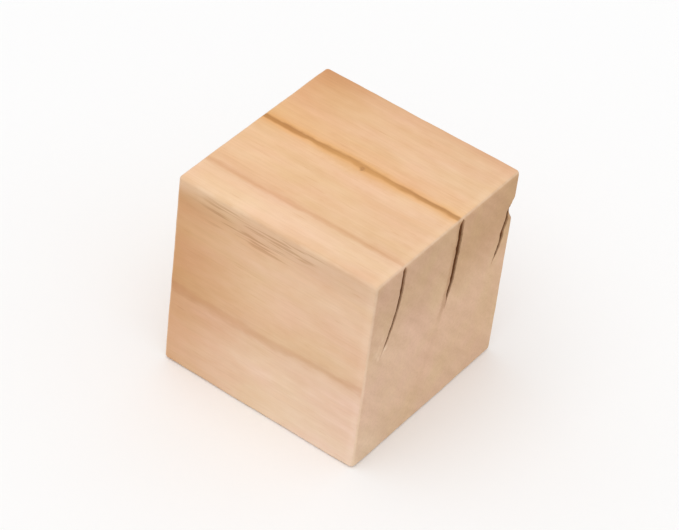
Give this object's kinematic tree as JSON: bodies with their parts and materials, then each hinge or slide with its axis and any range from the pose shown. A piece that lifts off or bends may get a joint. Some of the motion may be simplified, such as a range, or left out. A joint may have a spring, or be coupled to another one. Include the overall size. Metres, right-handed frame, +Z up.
{
  "type": "wooden cube",
  "caption": "Plain block of bare pine, sawn square with eased edges, straight grain along X and small drying checks in its end-grain face.",
  "frame": {"origin": "centre of the long-grain face that the cube stands on", "axes": "+Z up out of the top face, +X along the grain and out of the end-grain face that has the drying checks, -Y out of the front face, on whose side the heart of the tree lay"},
  "size_m": [0.0254, 0.0254, 0.0254],
  "materials": {
    "bare_pine": "matte"
  },
  "bodies": {
    "root": {"wooden_cube": "bare_pine"}
  },
  "joints": []
}
